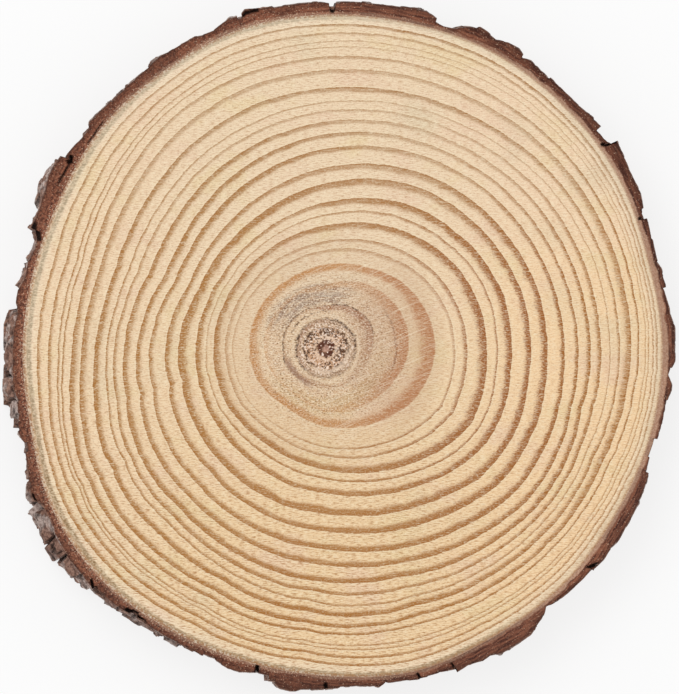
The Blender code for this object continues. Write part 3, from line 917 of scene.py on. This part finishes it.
def open_crack(direction, radius, share):
    """Depth of the open cracks in the sawn face of the bark, in millimetres."""
    deepest = 0.0
    for turn_start, share_start, turn_end, share_end, width, depth in SECTION_CRACKS:
        if not min(turn_start, turn_end) - 3 < direction < max(turn_start, turn_end) + 3:
            continue
        thickness = radius / max(share, 0.1)
        start = Vector((radians(turn_start) * RIM_RADIUS, share_start * thickness))
        end = Vector((radians(turn_end) * RIM_RADIUS, share_end * thickness))
        spot = Vector((radians(direction) * RIM_RADIUS, share * thickness))
        along = end - start
        nearest = min(max((spot - start).dot(along) / max(along.length_squared, 1e-6), 0), 1)
        away = (spot - start - along * nearest).length
        deepest = max(deepest, depth * (1 - rise(away, width)))
    return deepest


def build_bark(material):
    noise.seed_set(WARP_SEED)
    points, marks = [], {label: [] for label in BARK_MARKS}
    columns = bark_columns()
    flank_depths = [(row / (FLANK_ROWS - 1)) ** FLANK_CROWDING for row in range(FLANK_ROWS)]

    def put(point, *values):
        points.append(point)
        for label, value in zip(marks, values, strict=True):
            marks[label].append(value)

    for column in columns:
        for depth in flank_depths:
            direction, radius, seam_and_shade, step = flank_point(column, depth)
            put(place(direction, radius, depth), 0.0, 1.0, radius - wood_radius(direction), seam_and_shade,
                column.tone, step)
        low_direction, low_radius, seam_and_shade, step = flank_point(column, 1.0)
        inner = wood_radius(low_direction) + BARK_GAP - SKIN
        for row in range(1, LOWER_ROWS + 1):
            share = row / LOWER_ROWS
            put(place(low_direction, low_radius + (inner - low_radius) * share, 1.0), 1.0, 1 - share,
                (low_radius - inner) * (1 - share), 0.0, column.tone, step)
        top_direction, top_radius, top_seam_shade, step = flank_point(column, 0.0)
        for row in range(1, INNER_ROWS + 1):
            depth = 1 - row / INNER_ROWS
            direction = column.direction + wander(column.direction, depth)
            put(place(direction, wood_radius(direction) + BARK_GAP - SKIN, depth), 1.0, 0.0, 0.0, 0.0,
                column.tone, step)
        inner = wood_radius(top_direction) + BARK_GAP - SKIN
        for row in range(1, SECTION_ROWS):
            share = row / SECTION_ROWS
            radius = inner + (top_radius - inner) * share
            turn = top_direction % 360
            crack = open_crack(turn, (top_radius - inner) * share, share)
            spot = place(turn, radius, 0) / MM
            rough = 0.10 + 0.10 * noise.noise(spot * 0.9)
            rough += 0.3 * rise(share - 0.82, 0.18) * max(0, noise.noise(spot * 0.6))
            point = place(top_direction, radius, 0)
            point.z -= (max(rough, 0) * rise(share, 0.1) + crack) * MM
            # Painted shade on the sawn face: dark in its open cracks and, towards the outer edge, where
            # the flank's seams and cracks reach it
            dark = max(rise(crack, 0.8), top_seam_shade * rise(share - 0.3, 0.6))
            put(point, 1.0, share, radius - inner, dark, column.tone, step)
    size = FLANK_ROWS + LOWER_ROWS + INNER_ROWS + SECTION_ROWS - 1
    faces = []
    for first in range(len(columns)):
        following = (first + 1) % len(columns)
        for row in range(size):
            after = (row + 1) % size
            faces.append((first * size + row, first * size + after,
                          following * size + after, following * size + row))
    low, high = cad_box
    points = [[min(max(value, lowest), highest) for value, lowest, highest in zip(point, low, high)]
              for point in points]
    return new_piece("pine_bark", points, faces, marks, material, "bark")


def bark_material():
    """Pine bark: red-brown and layered where it is sawn, grey and scaly outside."""
    shader = Shader("pine_bark")
    spot = shader.place()
    section, across, layer, seam_and_shade, tone, step = [shader.attribute(label) for label in BARK_MARKS]
    x, _, _ = shader.split(spot)
    _, away = shader.from_middle(spot, (*PITH, 0.0))
    east, north, _ = shader.split(away)
    upright = abs(north)

    # Layers that run along the rim, and grain
    grain = shader.noise(spot, (1.6, 1.6, 1.0), detail=3.0, roughness=0.6)
    blotch = shader.noise(spot, (0.22, 0.22, 0.15), detail=3.0)
    bent = layer + blotch * 1.6 + tone * 9.0
    layered = shader.join(east * 13.0, north * 13.0, bent * 1.5)
    layers = shader.noise(layered, detail=4.0, roughness=0.7)

    crumbs = shader.noise(spot, (1.1, 1.1, 0.8), (8.0, 2.0, 0.0), detail=4.0, roughness=0.7)
    layered_share = x.rise(-70.0, 40.0, 0.3, 1.0)
    pattern = layers * layered_share + crumbs * (1 - layered_share)
    sawn = shader.mix(pattern.rise(0.38, 0.62), srgb(76, 40, 30), srgb(164, 104, 78))
    sawn = sawn.coat(grain.rise(0.56, 0.7, 0.0, 0.5), 200, 148, 120)
    sawn = sawn.coat(grain.rise(0.44, 0.3, 0.0, 0.7), 56, 32, 26)
    sawn = sawn.coat(across.rise(0.4, 0.9, 0.0, 0.35), 62, 34, 26)
    below = north.rise(-0.8, -0.98, 0.0, 0.32)
    aside = east.rise(0.3, 0.7)
    aside *= north.rise(0.1, 0.5, 0.18, 0.44)
    above = north.rise(0.3, 0.7, 0.0, 0.22)
    sawn = sawn.coat(above, 96, 48, 28)
    sawn = sawn.coat(shader.larger(below, aside), 58, 26, 18)
    sawn = sawn.coat(across.rise(0.84, 0.98, 0.0, 0.7), 32, 19, 15)
    pale_reach = layer + blotch * 2.0 - 1.0
    pale_reach += upright.rise(0.15, 0.5, -0.55, 0.15)
    pale_share = shader.larger(x.rise(25.0, 80.0), upright.rise(0.6, 0.9, 0.0, 0.45))
    inner_bark = pale_reach.rise(1.4, 0.7) * pale_share
    pale = shader.mix(grain.rise(0.4, 0.62), srgb(184, 140, 114), srgb(206, 168, 142))
    sawn = shader.mix(inner_bark * 0.85, sawn, pale)
    fleck = shader.noise(spot, (2.0, 2.0, 2.0), (1.0, 7.0, 0.0), detail=1.0)
    sprinkled = layer.rise(2.2, 0.0) * x.rise(60.0, -40.0, 0.1, 1.0)
    flecks = (fleck + sprinkled * 0.11).rise(0.65, 0.75)
    sawn = sawn.coat(flecks * 0.65, 226, 194, 166)

    scaly = shader.noise(spot, (0.8, 0.8, 0.3), (3.0, 1.0, 0.0), detail=4.0, roughness=0.62)
    weathered = shader.mix(scaly.rise(0.36, 0.64), srgb(136, 114, 106), srgb(202, 182, 172))
    brown = shader.mix(scaly.rise(0.36, 0.64), srgb(104, 72, 60), srgb(164, 126, 108))
    greyness = (step * 0.6 + blotch * 1.4).rise(0.7, 1.1)
    flank = shader.mix(greyness, brown, weathered)
    flank = flank.coat(grain.rise(0.6, 0.8, 0.0, 0.4), 214, 198, 188)
    flank = flank.coat(grain.rise(0.42, 0.3, 0.0, 0.5), 70, 48, 42)
    colour = shader.mix(section, flank, sawn)
    colour = colour.coat(tone.rise(0.2, 1.0, 0.0, 0.22), 70, 44, 38)
    # Painted shade: near black in the seams between scales, the cracks between plates, the groove under
    # the sawn edge and the open cracks in the sawn face
    colour = colour.coat(seam_and_shade * 0.92, 20, 12, 10)

    roughness = grain * 0.3 + 0.65
    height = grain + layers * 0.8
    return shader.finish(colour, roughness, height, depth=0.25, specular=0.2)


# Stage

def build_stage():
    mesh = bpy.data.meshes.new("floor")
    half = FLOOR_SIZE / 2
    corners = ((-half, -half), (half, -half), (half, half), (-half, half))
    mesh.from_pydata([(x, y, -FLOOR_GAP) for x, y in corners], [], [(0, 1, 2, 3)])
    shader = Shader("floor")
    cloud = shader.noise(shader.place(), (0.004, 0.004, 0.004))
    colour = shader.mix(cloud, srgb(138, 138, 138), srgb(134, 134, 134))
    shader.put(colour, shader.surface.inputs["Base Color"])
    shader.surface.inputs["Roughness"].default_value = 0.9
    shader.surface.inputs["Specular IOR Level"].default_value = 0.0
    shader.surface.inputs["Emission Color"].default_value = (1.0, 1.0, 1.0, 1.0)
    shader.surface.inputs["Emission Strength"].default_value = FLOOR_GLOW
    mesh.materials.append(shader.material)
    floor = bpy.data.objects.new("floor", mesh)
    bpy.context.scene.collection.objects.link(floor)


def add_light(name, spot, size, power):
    light = bpy.data.lights.new(name, "AREA")
    light.shape = "DISK"
    light.size = size
    light.energy = power
    lamp = bpy.data.objects.new(name, light)
    lamp.location = spot
    lamp.rotation_euler = (-Vector(spot)).to_track_quat("-Z", "Y").to_euler()
    bpy.context.scene.collection.objects.link(lamp)


def build_lights():
    add_light("key", *KEY_LIGHT)
    world = bpy.data.worlds.new("studio")
    world.use_nodes = True
    background = world.node_tree.nodes["Background"]
    background.inputs["Color"].default_value = (1.0, 1.0, 1.0, 1.0)
    background.inputs["Strength"].default_value = SKY_STRENGTH
    bpy.context.scene.world = world


def build_camera():
    camera = bpy.data.cameras.new("camera")
    camera.sensor_width = SENSOR
    camera.lens = SENSOR * CAMERA_HEIGHT / (max(PHOTO_SIZE) * PIXEL * MM)
    camera.clip_end = 100.0
    eye = bpy.data.objects.new("camera", camera)
    eye.location = (*CAMERA_SPOT, CAMERA_HEIGHT + THICKNESS * MM)
    bpy.context.scene.collection.objects.link(eye)
    bpy.context.scene.camera = eye


def main():
    bpy.context.scene.view_settings.view_transform = "Standard"
    build_camera()
    build_lights()
    build_stage()
    build_wood(wood_material())
    build_bark(bark_material())


main()
